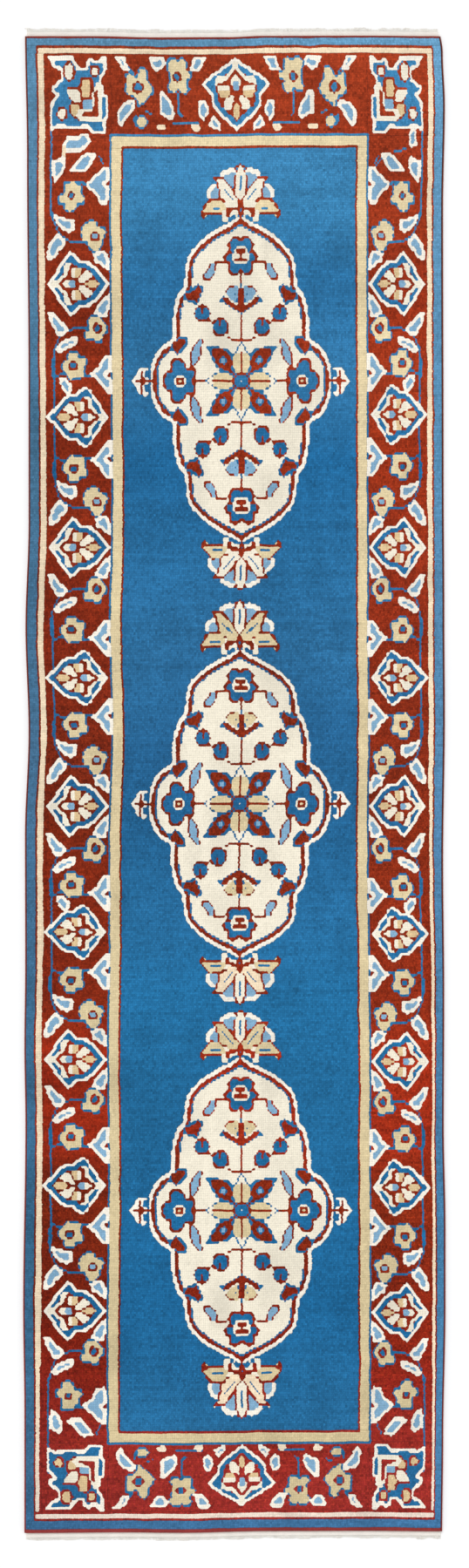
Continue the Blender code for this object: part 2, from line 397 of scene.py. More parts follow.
def side_flower(pen):
    """The blue flower inside a medallion's left or right lobe."""
    pen.area(MID, both_sides(SIDE_FLOWER))
    pen.loop(RED, both_sides(SIDE_FLOWER), 1.15)
    pen.disc(IVORY, 0, 0, 3.3, 2.8)
    pen.disc(RED, 0, 0, 2.1, 1.9)
    pen.disc(KHAKI, 0, 0, 0.8)


def lotus(pen, petal_yarn):
    """The red and pale flower on a medallion's stem, from its middle."""
    both = pen.mirror()
    pen.line(RED, [(0, -18.3), (0, -6)])
    both.line(MID, [(0, -6.6), (3.5, -5), (8.2, -2.6), (11, -1.9)], 1.1)
    both.area(MID, [(8, -1), (11.5, -1.8), (9.5, 0.5)])
    both.area(petal_yarn, [
        (1.5, -2.5), (5, -1.5), (7.5, 0.5), (7.6, 2.2), (5.8, 4.2), (2, 4.6), (1.5, 3),
    ])
    both.line(MID, [(2.3, -2), (2.6, 1)], 0.9)
    both.line(RED, [(8.2, 1.4), (6.4, 3.9), (2.6, 4.6)], 0.8)
    both.line(RED, [(8.8, -1), (5.5, -2.9), (2, -4.7)], 1.9)
    pen.area(RED, [(-1.7, -6.3), (1.7, -6.3), (1.9, 2.4), (0.6, 3.8), (-0.6, 3.8), (-1.9, 2.4)])
    pen.line(MID, [(0, 4.2), (0, 6)])
    pen.line(RED, [(0, 6.5), (0, 10)])


def bud(pen, u, v, radius):
    """A round blue bud with a red edge, and a red stalk that runs into it."""
    pen.disc(RED, u, v, radius + 0.9, radius + 0.7)
    pen.disc(MID, u, v, radius, radius * 0.92)
    pen.line(RED, [(u, v + radius + 0.5), (u, v + 0.5)], 1.1)


UPPER_HOOK = [
    (20.3, 38.4), (22, 39.3), (23.8, 38), (26, 36.4), (28.5, 36), (28.5, 34.2), (25.6, 33.8),
    (23.2, 32.6), (21.6, 35.5),
]
LOWER_HOOK = [
    (28.6, 17.4), (31, 17.8), (33.4, 16.6), (35.8, 15.8), (35.3, 14), (32.9, 11.8), (31, 13.2),
    (28.8, 15.6),
]


def medallion(grid, column, row, accent):
    pen = Pen(grid, column, row)
    four = pen.quarters()
    edge = all_round(MEDALLION_EDGE)
    pen.area(IVORY, edge, [(WHITE, 1.7), (RED, 1.5), (MID, 0.8)])
    for hook in (UPPER_HOOK, LOWER_HOOK):
        four.line(MID, hook + hook[:1], 2.0)
    rim = [
        (28.4, 41.5), (28.4, 39), (31.6, 35.3), (33.8, 29.8), (34.4, 24), (34.2, 17.4),
        (37.3, 15.8), (40, 14.2),
    ]
    four.line(WHITE, rim, 1.7)
    for hook in (UPPER_HOOK, LOWER_HOOK):
        four.area(RED, hook)
    four.line(RED, [(0, 66.4), (2.2, 65)], 1.3)
    star(pen)
    pen.mirror().line(RED, [(19.5, 0), (24.5, 0)])
    four.line(RED, [(0, 17), (4.6, 17), (7.5, 18.6)], 0.9)
    for flip in (1, -1):
        end_flower(pen.moved(0, 51.8 * flip, flip_v=1))
        side_flower(pen.moved(31.5 * flip, 0, flip_u=flip))
        lotus(pen.moved(0, 35 * flip, flip_v=flip), accent)
    bud(four, 10.6, 22.4, 3.5)
    bud(four, 20, 28, 3.2)
    four.line(RED, [(14.5, 23.4), (17, 25.6)], 0.9)
    leaf_edge = [
        (19, 17.9), (21.8, 17.7), (23.7, 16.2), (25.5, 14), (26.3, 11), (26.2, 5.2), (24.6, 5.5),
        (22.1, 8.2), (20.6, 11.5), (20.2, 15),
    ]
    four.area(LIGHT, leaf_edge, [(RED, 0.75)])
    small = [
        (12.4, 48.8), (15.8, 49), (17, 46.2), (19.8, 43.8), (19.5, 41.8), (15.4, 41.8),
        (13.4, 44.2), (12.5, 46.3),
    ]
    four.area(LIGHT, small, [(RED, 0.75)])
    four.line(RED, [(8, 49.2), (12.6, 48.8)], 0.9)
    pen.mirror_v().line(RED, [(0, 68), (0, 65.5)], 1.5)


def pendant_pen(grid, medallion_index, row, flip):
    """A pen at the middle of the palmette beyond a medallion's tip."""
    _, rows = PENDANTS[medallion_index, flip]
    row += flip * (PENDANT_START + PENDANT_BASE * rows)
    return Pen(grid, STAR_COLUMN, row, flip_v=flip, rows=rows)


def pendant(pen, petal_yarn):
    """The palmette beyond a medallion's tip."""
    both = pen.mirror()
    pen.area(IVORY, both_halves([(0, 3), (10, 2), (9, -3.5), (0, -5)]))
    both.area(WHITE, [(17.9, 2), (17.6, 5.5), (16, 7.6), (14, 8.8), (12, 9), (11, 2)])
    both.area(WHITE, [(10.6, 12), (10.6, 13.2), (8, 14.8), (5, 15.7), (3, 15.3), (3, 8), (8, 11)])
    both.area(LIGHT, [(9.2, 11.8), (6.5, 13), (3, 13.7), (3, 6.5), (5, 7.5), (8.5, 11)])
    both.area(LIGHT, [(15.2, 2), (15, 5.5), (13.5, 7), (11.5, 7.3), (11.3, 2)])
    petal = [
        (0, 1.2), (1, 3.4), (3.6, 6.4), (6.5, 9), (9.3, 11.8), (14.6, 12), (13, 9.8), (11.9, 6),
        (11.8, 1.8),
        (9, 0.6), (6, -1.2), (0, -1.5),
    ]
    both.area(petal_yarn, petal)
    both.line(RED, [
        (3.4, 5.6), (6.5, 8.5), (9.2, 11.3), (14, 11.3), (12.5, 9.6), (11.4, 6), (11.4, 2.2),
    ], 1.1)
    both.line(MID, [(8.9, 6.4), (6.7, 4.2), (4, 1.6)], 0.8)
    side = [
        (9.4, 2), (15.3, 2.4), (17.8, 0.3), (20.3, -2.8), (20.6, -5), (19, -7.4), (17.2, -5),
        (9.2, -5), (7.4, -2.5),
    ]
    both.area(KHAKI, side)
    both.line(RED, [(9.3, 1.6), (15.2, 1.9), (17.4, 0), (19.8, -2.9), (20, -4.8), (19, -6.8)], 0.9)
    both.line(RED, [(18, -4.5), (9.3, -4.5)], 0.9)
    both.line(RED, [(18.6, -4), (19.4, -6)], 1.4)
    both.line(RED, [(9.2, 0.4), (6.6, 0.2)], 0.9)
    both.line(MID, [(10.2, -1.9), (14.8, -1.9)], 0.9)
    both.area(IVORY, [
        (0, -4), (5, -4), (7, -3), (9.3, -3.4), (9.2, -8.2), (6, -7.9), (2.5, -5.8), (0, -4.8),
    ])
    both.line(MID, [(2.4, -4.9), (6.4, -7.2)], 1.2)
    tongue = both_halves([(0, 17.3), (1.6, 16), (3.3, 12.5), (3.3, 3.5), (0, 0.5)])
    pen.area(IVORY, tongue, [(RED, 0.8)])
    both.line(RED, [(1.4, 16.3), (2.7, 15.2)], 0.9)
    pen.line(MID, [(0, 5.8), (0, 12.3)])
    both.line(RED, [(0, -1.8), (2.5, -2.3), (6.7, -3), (6.5, -5.6)], 1.5)
    pen.line(RED, [(0, 0.3), (0, -4.4)], 2.2)
    pen.block(MID, 0, -2.8, 0.6, 0.7)
    pen.line(RED, [(0, -4.5), (0, -8)])


def finial(grid, column, row, flip_u):
    """The small leaf at a medallion's side, from its foot outwards."""
    pen = Pen(grid, column, row, flip_u=flip_u)
    pen.area(WHITE, FINIAL_EDGE)
    pen.line(RED, [(-1.5, 0), (7, 0)])
    pen.line(RED, [(3.8, -4.6), (3.8, 4.2)], 1.0)
    pen.disc(RED, 3.6, 0, 1.6, 1.4)
    pen.mirror_v().block(MID, 1.2, 2.9, 0.9, 1.4)


def corner(pen, dots):
    """The square motif in a corner of the main border. dots is the yarn of its three dots."""
    edge = [
        (-15.6, 16.4), (-1.5, 16.5), (-1, 14.7), (1.5, 12), (4.5, 12), (5.5, 15), (8, 16.4),
        (9, 14.7), (12, 14.7),
        (12.5, 16.7), (15.7, 16.7), (15.2, 9), (13, 7.5), (13.8, 1), (16.3, 0.5), (16.3, -8),
        (14.4, -10),
        (15, -15.7), (7, -15.7), (5.2, -13.2), (-3.5, -13.7), (-10, -12.9), (-14.6, -15.2),
        (-14.5, -4),
        (-12.4, -1), (-11, 0.5), (-13.5, 1.5), (-13.5, 3.9), (-8.5, 7), (-8.5, 10.7), (-11.2, 11.3),
    ]
    pen.area(MID, edge, [(WHITE, 1.5)])
    for u, v, ru, rv in ((-4, 10, 2.3, 3.2), (9.3, 10.2, 1.9, 1.8), (-8, -7.2, 1.9, 1.9)):
        pen.disc(RED, u, v, ru + 1.1, rv + 1.0)
        pen.disc(dots, u, v, ru, rv)
    pen.area(RED, [
        (-5.8, 3.6), (1, 4), (2, 7.4), (6, 8), (8.3, 6.6), (8.8, 3.6), (11.3, 5), (11, -9.5),
        (0, -10.3), (-4.3, -7.5), (-4.4, -3.2), (-2.6, -2.6), (-4.4, -0.5),
    ])
    pen.area(IVORY, [
        (-4.7, 2.6), (0.7, 2.9), (2.3, 0), (1.8, -2.3), (-2, -2.2), (-3.2, -0.2), (-5, 0.5),
    ])
    pen.area(TAN, [(2.6, 6.7), (6.7, 6.9), (7.3, 0.3), (3.3, -0.5), (2.2, 2.5)])
    pen.area(TAN, [(-3, -3.4), (0.8, -3.2), (0.5, -6.5), (1.5, -9), (-1.5, -8.8), (-3, -7)])
    pen.area(IVORY, [
        (0.5, -5.2), (4.5, -5.2), (8, -4.8), (8, -6.2), (2.6, -6.6), (1.2, -8.4), (12.6, -8),
        (12.8, -10.2), (1, -10.2), (-1, -8),
    ])
    pen.area(IVORY, [
        (8.3, 1.4), (10.2, 5.6), (12.8, 5.6), (12.8, -10), (10.8, -9), (11, 2.6), (9.6, 2.4),
        (9.2, -3.6), (7.8, -4.8),
    ])
    pen.area(RED, [(2.4, -7), (10.3, -6.6), (10.3, 2), (9.3, 2), (9, -5), (7.5, -6)])
    pen.block(LIGHT, 5.2, -3.2, 2.3, 2.1)


UPRIGHT_WIDER, UPRIGHT_LOWER = 1.31, 0.945  # the upright shield against the lying one, in knots
PALMETTE_HALF = [
    (-15.8, 0), (-13.9, 2.3), (-12.1, 4.2), (-10.6, 6.2), (-8.7, 8.4), (-6.6, 10.8), (-4, 13.2),
    (-2.2, 12.6), (1.2, 9.9), (4.5, 9.9), (7.8, 8.4), (11, 5.7), (14, 2.7), (17, 0),
]


def palmette(pen, upright=False):
    """A shield. Lying, its crest is at -u and its drop at +u; upright, its crest is at +v."""
    both = pen.mirror() if upright else pen.mirror_v()

    def at(*points):
        if not upright:
            return list(points)
        return [(v * UPRIGHT_WIDER, -u * UPRIGHT_LOWER) for u, v in points]

    pen.area(RED, at(*both_sides(PALMETTE_HALF)), [(WHITE, 1.45), (MID, 1.9)])
    both.area(MID, at((-7, 8.3), (-4.2, 11.4), (-1, 8.3)))
    wing = at(
        (-14, 0), (-13.5, 0.9), (-11, 1.4), (-9, 2.9), (-7.2, 4.2), (-6.9, 7), (-5.8, 8),
        (-3.6, 8.3), (-2.6, 7.5), (-4.6, 6.6), (-5, 3.4), (-8, 1.4), (-10.2, 0),
    )
    both.area(IVORY, wing)
    both.line(RED, at((-9.9, 0), (-7.5, 2), (-4.5, 3.4), (-3.9, 6.8)), 0.9)
    both.area(IVORY, at((-8.4, 0), (-6, 1.6), (-3.2, 1.6), (-3.2, 0)))
    pen.disc(LIGHT, *at((-3.1, 0))[0], 2.0, 2.2 if upright else 1.6)
    both.area(IVORY, at((-3.1, 7), (-0.9, 7), (-0.9, 2.5), (-3.1, 2.9)))
    both.area(TAN, at((-1.1, 7), (1.9, 6.6), (1.6, 3.5), (-0.3, 2.4), (-1.1, 2.4)))
    petal = at(
        (2.7, 4.6), (4.2, 5.3), (7.3, 4.7), (8.1, 2.6), (5.4, 1.9), (3.2, 0.8), (0.4, 0.8),
        (1.4, 2.4),
    )
    both.area(IVORY, petal)
    pen.area(TAN, at((4.2, 0), (5.9, 1.3), (8.8, 1.5), (11.5, 0), (8.8, -1.5), (5.9, -1.5)))


def leaf(pen, points, core=1.5):
    """A pale leaf with a light blue core."""
    pen.area(LIGHT, points, [(WHITE, core)])


def palmette_with_leaves(pen):
    """Kind A: the crest on the outside, and what grows round it."""
    pen.line(MID, [
        (-13.4, 36), (-13.4, 30), (-12.3, 26), (-9.8, 20.5), (-5.5, 17.8), (-1, 16.7), (5, 16.7),
    ])
    pen.line(MID, [
        (-13.4, -38), (-13.4, -31), (-11.9, -26.2), (-10.5, -22.6), (-7.3, -20), (-2.8, -18.3),
        (5, -18.1),
    ])
    bloom(pen, 9.3, 19.4, BLOOM_UPPER, blue=LIGHT)
    bloom(pen, 10, -18.1, BLOOM_LOWER)
    leaf(pen, [
        (-12.6, 28.2), (-9.6, 27.9), (-6, 27), (-1.6, 27), (-1.2, 22.2), (-4.2, 20.6), (-8, 22),
        (-10.8, 24.3),
    ])
    leaf(pen, [
        (-10.7, 20.6), (-5.8, 17.8), (-6.8, 15.6), (-9.4, 13.4), (-12.1, 10.1), (-15.8, 9.8),
        (-16.1, 12.9), (-14.3, 17.2),
    ])
    leaf(pen, [
        (8.2, 12), (11.4, 13.7), (14.6, 14), (16.6, 9.3), (16.6, 5), (13.8, 6.4), (10.5, 8.6),
        (8.7, 9),
    ])
    leaf(pen, [
        (16.8, -3.3), (17, -8.1), (15.8, -13), (12.9, -14), (9, -11.9), (9.5, -9.4), (13.2, -5.6),
    ])
    leaf(pen, [
        (-15.8, -11.8), (-13, -11.4), (-9.4, -14.4), (-5.1, -18.3), (-7.1, -21.1), (-10.7, -21.5),
        (-14.4, -16.8),
    ])
    leaf(pen, [
        (0.2, -21.4), (0.3, -24.3), (-2.8, -25.8), (-7.3, -27.6), (-11.2, -29), (-12.1, -27),
        (-8, -23.1), (-3.7, -21.9),
    ])
    palmette(pen)


def palmette_turned(pen, small_leaf):
    """Kind B: the crest on the inside, with two blooms and two forked leaves."""
    both = pen.mirror_v()
    both.line(MID, [(-12.9, 4), (-12.9, 28)], 0.8)
    both.line(MID, [(-12.5, 16.4), (-7.6, 18.5)])
    both.line(MID, [(3, 17.2), (6, 17.4)])
    for flip in (1, -1):
        bloom(pen.moved(0, 0, flip_v=flip), -2.6, 21.3, BLOOM_WIDE)
    fork = [
        (5.6, 17.7), (10, 20.5), (13.1, 24.2), (15.3, 25.9), (17.5, 25.6), (17.5, 19), (14.4, 17.4),
        (17.3, 16), (17.6, 9.9), (15.4, 9.9), (11.4, 13.5), (8.4, 16.5),
    ]
    leaf(both, fork)
    if small_leaf:
        leaf(pen, [
            (-9.6, 17), (-7, 16.7), (-3.5, 13.9), (-3.5, 10.2), (-5.7, 9.2), (-8.5, 11.2),
            (-10.1, 13.7),
        ], 1.3)
    palmette(pen.moved(0, 0, flip_u=-1))


def border_start(pen, top):
    """What fills a side border between its corner and the first palmette."""
    pen.line(MID, [(-13.4, 26), (-13.4, -17)], 0.8)
    if top == "hook":
        leaf(pen, [
            (-8.3, 12.3), (-5.5, 16.3), (0.5, 16.3), (1, 18), (5.2, 17.5), (7, 14), (2, 9.8),
            (-6, 9.8),
        ])
        pen.line(CREAM, [(-7.3, 12), (-7.5, 6)], 1.8)
    if top == "leaf":
        leaf(pen, [
            (-10.8, 13), (-8.2, 11.8), (-5.8, 12.6), (-6.2, 17.5), (-7.5, 19.8), (-10.2, 19.5),
        ], 1.4)
        pen.line(MID, [(-5.5, 11.5), (0, 9.8), (6.5, 9.2), (9.5, 7), (12.5, 4)], 0.9)
    leaf(pen, [(-12.7, 6), (-7, 8.3), (-6, 4), (-7.8, 0), (-11.8, -3.2), (-12.8, 0)], 1.5)
    leaf(pen, [(-4.8, 1.6), (2.5, 8.4), (5, 9.6), (10.2, 8.9), (7, 4.5), (3.7, 1.2)])
    for u, v in ((11, 8), (12.5, 6.5), (13.5, 5)):
        pen.block(MID, u, v, 0.6, 0.6)
    fork = [
        (3.2, -4.2), (8.9, -0.2), (14, 4), (16.6, 3.6), (16.6, -2.8), (14.3, -3.8), (16.6, -5),
        (16.2, -12.8),
        (11.6, -12), (8.9, -7.8),
    ]
    leaf(pen, fork)
    pen.line(MID, [(0, -3), (4, -3.6)])
    bloom(pen, -3.2, -8.6, BLOOM_TALL, 2.2, 1.2)


def end_run(pen):
    """Half of the far border, from the corner to just short of the middle shield."""
    pen.line(MID, [(-15.5, 10.5), (-13.5, 8)], 1.2)
    leaf(pen, [(-24, 15.5), (-17.5, 15.3), (-15, 9.5), (-18.7, 9.3), (-20.5, 12)])
    bloom(pen, -10.8, 2.1, BLOOM_STAR, 3.1, 1.8)
    leaf(pen, [(-13, -2.5), (-12.3, -5.5), (-20, -14.6), (-22, -12.3), (-21.7, -7), (-18.5, -4)])
    pen.line(MID, [(-12.5, -9), (-13, -11.5), (-12, -13.3)], 1)
    pen.disc(MID, -9.3, -12, 3.6, 2.7)
    pen.disc(KHAKI, -9, -12, 2.6, 1.9)
    leaf(pen, [(-5, 14.6), (2.5, 15), (4.3, 12), (0, 9), (-2.5, 10)], 1.4)
    bloom(pen, 9.7, 6.6, BLOOM_FIVE, 2.6, 1.4)
    pen.line(MID, [(10, 0), (10, -8), (12, -10)])
    pen.line(MID, [(-4, -8.5), (-7, -7.5)])
    leaf(pen, [(0, 1), (2.2, 0.8), (6.5, -4), (8, -8.3), (6.5, -11.3), (0, -8.5)], 1.4)
    leaf(pen, [(15.8, 8.5), (21, 8.7), (25.5, 15.3), (18.5, 15.5)], 1.4)
    pen.line(MID, [(7, -12.8), (20, -12.8)])
    pen.disc(CREAM, 0.5, -14, 2.6, 1.5)
    pen.disc(CREAM, 18.5, -14.4, 2.4, 1.4)


def end_shield(pen):
    """The upright shield in the middle of an end border, with two leaves on each side."""
    both = pen.mirror()
    palmette(pen, upright=True)
    leaf(both, [(-19.2, -3.5), (-15.5, -2.7), (-14.3, -8), (-17, -11.8), (-20, -9)], 1.3)
    leaf(both, [(-12.5, -9), (-8, -13), (-9, -15.8), (-14.5, -13.5)], 1.3)


LEFT_PALMETTES = (544.5, 489.5, 434.5, 377.5, 321.5, 266.5, 210.5, 154.5, 99.5)
RIGHT_PALMETTES = (544.5, 490.5, 434.5, 377.5, 321.5, 265.5, 209.5, 153.5, 98.5)


def draw_side(grid, palmettes, column, flip_u, top):
    """A side border with its corners, its palmettes and what fills its two ends."""
    border_start(Pen(grid, column, 589.5, flip_u=flip_u), top)
    border_start(Pen(grid, column, 53, flip_u=flip_u, flip_v=-1), "")
    for index, row in enumerate(palmettes):
        pen = Pen(grid, column, row, flip_u=flip_u)
        if index % 2:
            palmette_turned(pen, index in (1, 5))
        else:
            palmette_with_leaves(pen)
    corner(Pen(grid, column, CORNER_FAR, flip_u=flip_u), IVORY)
    corner(Pen(grid, column, CORNER_NEAR, flip_u=flip_u, flip_v=-1, rows=31 / 34), TAN)


def draw_end(grid, row, flip_v, rows, columns):
    """An end border between its corners, from the columns of its runs and its shield."""
    left, middle, right = columns
    end_run(Pen(grid, left, row, 1, flip_v, rows))
    end_run(Pen(grid, right, row, -1, flip_v, rows))
    end_shield(Pen(grid, middle, row, 1, flip_v, rows))


def draw_rug():
    grid = np.zeros((ROWS, COLUMNS), np.int8)
    ground(grid)
    draw_side(grid, LEFT_PALMETTES, BORDER_MIDDLE, 1, "hook")
    draw_side(grid, RIGHT_PALMETTES, COLUMNS - BORDER_MIDDLE, -1, "leaf")
    draw_end(grid, 624, 1, 1.0, (68.7, 108.5, 147.8))
    draw_end(grid, 25.5, -1, 31 / 34, (70.3, 110.5, 149.6))
    for index, row in enumerate(STAR_ROWS):
        medallion(grid, STAR_COLUMN, row, KHAKI if index else LIGHT)
        for flip in (1, -1):
            pendant(pendant_pen(grid, index, row, flip), PENDANTS[index, flip][0])
            finial(grid, STAR_COLUMN + flip * FINIAL_STEP, row, flip)
    return grid


# --- where the knots lie ---

EDGE_GAP = 0.00005  # each piece of pile stops this far short of the line it shares with the next
TUFT_DIP = 0.0010  # how far a tuft's corners lie below its middle
TUFT_SCATTER = 0.00022
KNOT_JITTER = 0.00020
CORNER_ROUNDING = 0.3  # how far a colour's corners are cut, as a share of a knot
# Slow waves of the pile as (size in half knots, height): sideways, along the rug, and in level
SIDE_WAVES = ((14, 9), 0.0006)
LONG_WAVES = ((9, 14), 0.0005)
LEVEL_WAVES = ((40, 25), 0.0003)
ROW_SHIFT = 0.00075  # alternate rows sit a little to one side of each other

# The rows on each side of a medallion's middle that are taller than the rest of it, and how many
# even rows' height they take above and below it. OUTER_ROWS reaches almost to its tips.
INNER_ROWS = 35
OUTER_ROWS = 62
INNER_HEIGHTS = {"far": (34.4, 35.6), "middle": (36, 36), "near": (35.5, 35.4)}

# How far the long and short edges wander, as (place along the edge, offset), in millimetres
LEFT_WANDER = (
    (-1448, 0), (-1200, 0), (-1000, -2.5), (-650, 2), (-500, 0), (-350, 1.5), (-100, 1), (100, 8),
    (300, 2),
    (500, 8), (780, 8), (1200, 5), (1448, 1),
)
RIGHT_WANDER = (
    (-1448, -1.5), (-1250, 0.5), (-1000, 5), (-850, 5), (-650, 1.5), (-400, 2.5), (-150, 0.5),
    (130, 4), (320, 3), (600, 1.5), (1100, 0.5), (1300, 4), (1400, 0), (1448, -6),
)
# How much further the patterned bands on the left and right and the middle of the field wander
LEFT_BAND_WANDER = (
    (-1448, -6), (-1200, -5), (-900, -3.5), (-550, -5), (-200, -3), (500, -3), (900, -5),
    (1050, -5), (1300, -3), (1448, -2),
)
RIGHT_BAND_WANDER = (
    (-1448, 6.5), (-1200, 6.5), (-1050, 4), (-800, 4), (-550, 6.5), (-400, 4), (-150, 2), (100, 0),
    (1448, 0),
)
MIDDLE_WANDER = (
    (-1448, 3), (-1150, 2.5), (-900, 0.5), (-600, -0.5), (-300, -3), (250, -4), (500, -2.5),
    (1100, -2.5), (1448, -4),
)
FAR_WANDER = ((-400, 0), (-260, 0), (-150, -2.5), (0, -2), (60, 0.5), (250, 1), (400, 0))
NEAR_WANDER = ((-400, -2.5), (-200, -1), (-100, -2), (60, 1.5), (250, 2), (400, 1))


def wander(points, at):
    """A smooth line through a few offsets."""
    where = np.array([p for p, _ in points]) / 1000
    offset = np.array([o for _, o in points]) / 1000
    at = np.clip(at, where[0], where[-1])
    index = np.clip(np.searchsorted(where, at) - 1, 0, len(where) - 2)
    share = (at - where[index]) / (where[index + 1] - where[index])
    share = share * share * (3 - 2 * share)
    return offset[index] * (1 - share) + offset[index + 1] * share


def lay(x, y):
    """Where a point of the straight rug lies once its edges have wandered."""
    across = np.clip(x / HALF_WIDTH, -1, 1)
    along = np.clip(y / HALF_LENGTH, -1, 1)
    left, right = wander(LEFT_WANDER, y), wander(RIGHT_WANDER, y)
    dx = left * (1 - across) / 2 + right * (1 + across) / 2
    dx += wander(LEFT_BAND_WANDER, y) * np.interp(across, (-1, -0.93, -0.5, -0.1), (0, 1, 1, 0))
    dx += wander(RIGHT_BAND_WANDER, y) * np.interp(across, (0.1, 0.5, 0.93, 1), (0, 1, 1, 0))
    dx += wander(MIDDLE_WANDER, y) * np.interp(across, (-0.5, -0.1, 0.1, 0.5), (0, 1, 1, 0))
    near, far = wander(NEAR_WANDER, x), wander(FAR_WANDER, x)
    dy = near * np.clip(-along, 0, 1) ** 3 + far * np.clip(along, 0, 1) ** 3
    return x + dx, y + dy


def middle(node):
    low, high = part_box(node)
    return (low + high) / 2


def band_edges():
    """The outer edges of each band of pile, then of the field: left, right, far and near."""
    left, right, far, near = 0, COLUMNS, ROWS, 0
    for name, (a, b, c, d) in PILE_BANDS:
        yield name, left, right, far, near
        left, right, far, near = left + a, right - b, far - c, near + d
    yield "field_pile", left, right, far, near


def column_stops():
    """Pairs of column and X, from the CAD's bands of pile."""
    *bands, (_, field_left, field_right, _, _) = band_edges()
    stops = []
    for name, left, right, _, _ in bands[1:]:
        stops += [(left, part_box(f"{name}_left")[0].x), (right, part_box(f"{name}_right")[1].x)]
    low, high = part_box("field_pile")
    stops += [(field_left, low.x), (field_right, high.x)]
    stops += [(STAR_COLUMN, middle("medallion_pile_middle").x)]
    return np.array(sorted(stops))


def row_stops():
    """Pairs of row and Y, from the CAD's bands of pile and its medallions."""
    *bands, (_, _, _, field_far, field_near) = band_edges()
    stops = []
    for name, _, _, far, near in bands:
        stops += [(near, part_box(f"{name}_near")[0].y), (far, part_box(f"{name}_far")[1].y)]
    low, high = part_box("field_pile")
    stops += [(field_near, low.y), (field_far, high.y)]
    for place, row in zip(("far", "middle", "near"), STAR_ROWS):
        low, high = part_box(f"medallion_pile_{place}")
        above, below = INNER_HEIGHTS[place]
        half = (high.y - low.y) / 2 / MEDALLION_EDGE[0][1]
        centre = (low.y + high.y) / 2
        stops += [(row + rows, centre + half * rows) for rows in (-OUTER_ROWS, OUTER_ROWS)]
        stops += [
            (row - INNER_ROWS, centre - half * below), (row + INNER_ROWS, centre + half * above),
        ]
    return np.array(sorted(stops))


def random_field(rng, shape, cells, size):
    """Smooth noise over the fine grid, cells is how many knots it takes to change."""
    coarse = rng.normal(0, 1, (int(shape[0] / cells[0]) + 3, int(shape[1] / cells[1]) + 3))
    r = np.arange(shape[0]) / cells[0]
    c = np.arange(shape[1]) / cells[1]
    ri, ci = r.astype(int), c.astype(int)
    rf, cf = r - ri, c - ci
    rf, cf = rf * rf * (3 - 2 * rf), cf * cf * (3 - 2 * cf)
    top = coarse[np.ix_(ri, ci)] * (1 - cf) + coarse[np.ix_(ri, ci + 1)] * cf
    bottom = coarse[np.ix_(ri + 1, ci)] * (1 - cf) + coarse[np.ix_(ri + 1, ci + 1)] * cf
    return (top * (1 - rf)[:, None] + bottom * rf[:, None]) * size


def rounded_corners(x, y, yarn):
    """Moves each corner where one knot differs from the three beside it towards that knot."""
    cells = (yarn[:-1, :-1], yarn[:-1, 1:], yarn[1:, :-1], yarn[1:, 1:])
    places = ((-1, -1), (-1, 1), (1, -1), (1, 1))
    width = (x[2:-2:2, 4::2] - x[2:-2:2, :-4:2]) / 2
    height = (y[4::2, 2:-2:2] - y[:-4:2, 2:-2:2]) / 2
    for odd, (down, aside) in enumerate(places):
        others = [cell for index, cell in enumerate(cells) if index != odd]
        alone = (others[0] == others[1]) & (others[1] == others[2]) & (cells[odd] != others[0])
        x[2:-2:2, 2:-2:2] += alone * aside * width * CORNER_ROUNDING
        y[2:-2:2, 2:-2:2] += alone * down * height * CORNER_ROUNDING


def knot_surface(rng, yarn):
    """X, Y and Z of the fine grid: two steps to a knot each way."""
    columns, rows = column_stops(), row_stops()
    x = np.interp(np.arange(2 * COLUMNS + 1) / 2, columns[:, 0], columns[:, 1])
    y = np.interp(np.arange(2 * ROWS + 1) / 2, rows[:, 0], rows[:, 1])
    x, y = np.meshgrid(x, y)
    shape = x.shape
    inner = np.zeros(shape)
    inner[2:-2, 2:-2] = 1
    shift = random_field(rng, shape, (1, 24), ROW_SHIFT)
    shift[::2] = 0
    sideways = shift + random_field(rng, shape, *SIDE_WAVES)
    x = x + inner * (sideways + rng.normal(0, KNOT_JITTER, shape))
    y = y + inner * (random_field(rng, shape, *LONG_WAVES) + rng.normal(0, KNOT_JITTER, shape))
    rounded_corners(x, y, yarn)
    odd_row, odd_column = np.arange(shape[0]) % 2, np.arange(shape[1]) % 2
    level = odd_row[:, None] * 0.5 + odd_column[None, :] * 0.5
    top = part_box("field_pile")[1].z
    z = top - TUFT_DIP * (1 - level) - np.abs(rng.normal(0, TUFT_SCATTER, shape))
    z -= np.abs(random_field(rng, shape, *LEVEL_WAVES))
    x, y = lay(x, y)
    return x, y, z


# --- meshes ---


def mesh_object(name, points, faces, materials, material_index=None, smooth=None, attributes=()):
    """A mesh from an array of points and a list of face arrays of equal size each."""
    mesh = bpy.data.meshes.new(name)
    sizes = np.concatenate([np.full(len(f), f.shape[1]) for f in faces])
    corners = np.concatenate([f.reshape(-1) for f in faces])
    mesh.vertices.add(len(points))
    mesh.vertices.foreach_set("co", np.ascontiguousarray(points, np.float32).reshape(-1))
    mesh.loops.add(len(corners))
    mesh.loops.foreach_set("vertex_index", corners.astype(np.int32))
    mesh.polygons.add(len(sizes))
    starts = np.concatenate([[0], np.cumsum(sizes)[:-1]])
    mesh.polygons.foreach_set("loop_start", starts.astype(np.int32))
    for material in materials:
        mesh.materials.append(material)
    if material_index is not None:
        mesh.polygons.foreach_set("material_index", material_index.astype(np.int32))
    flat = np.ones(len(sizes), bool) if smooth is None else ~smooth
    mesh.polygons.foreach_set("use_smooth", ~flat)
    for label, values in attributes:
        layer = mesh.attributes.new(label, "FLOAT", "FACE")
        layer.data.foreach_set("value", values.astype(np.float32))
    mesh.update(calc_edges=True)
    obj = bpy.data.objects.new(name, mesh)
    bpy.context.scene.collection.objects.link(obj)
    return obj


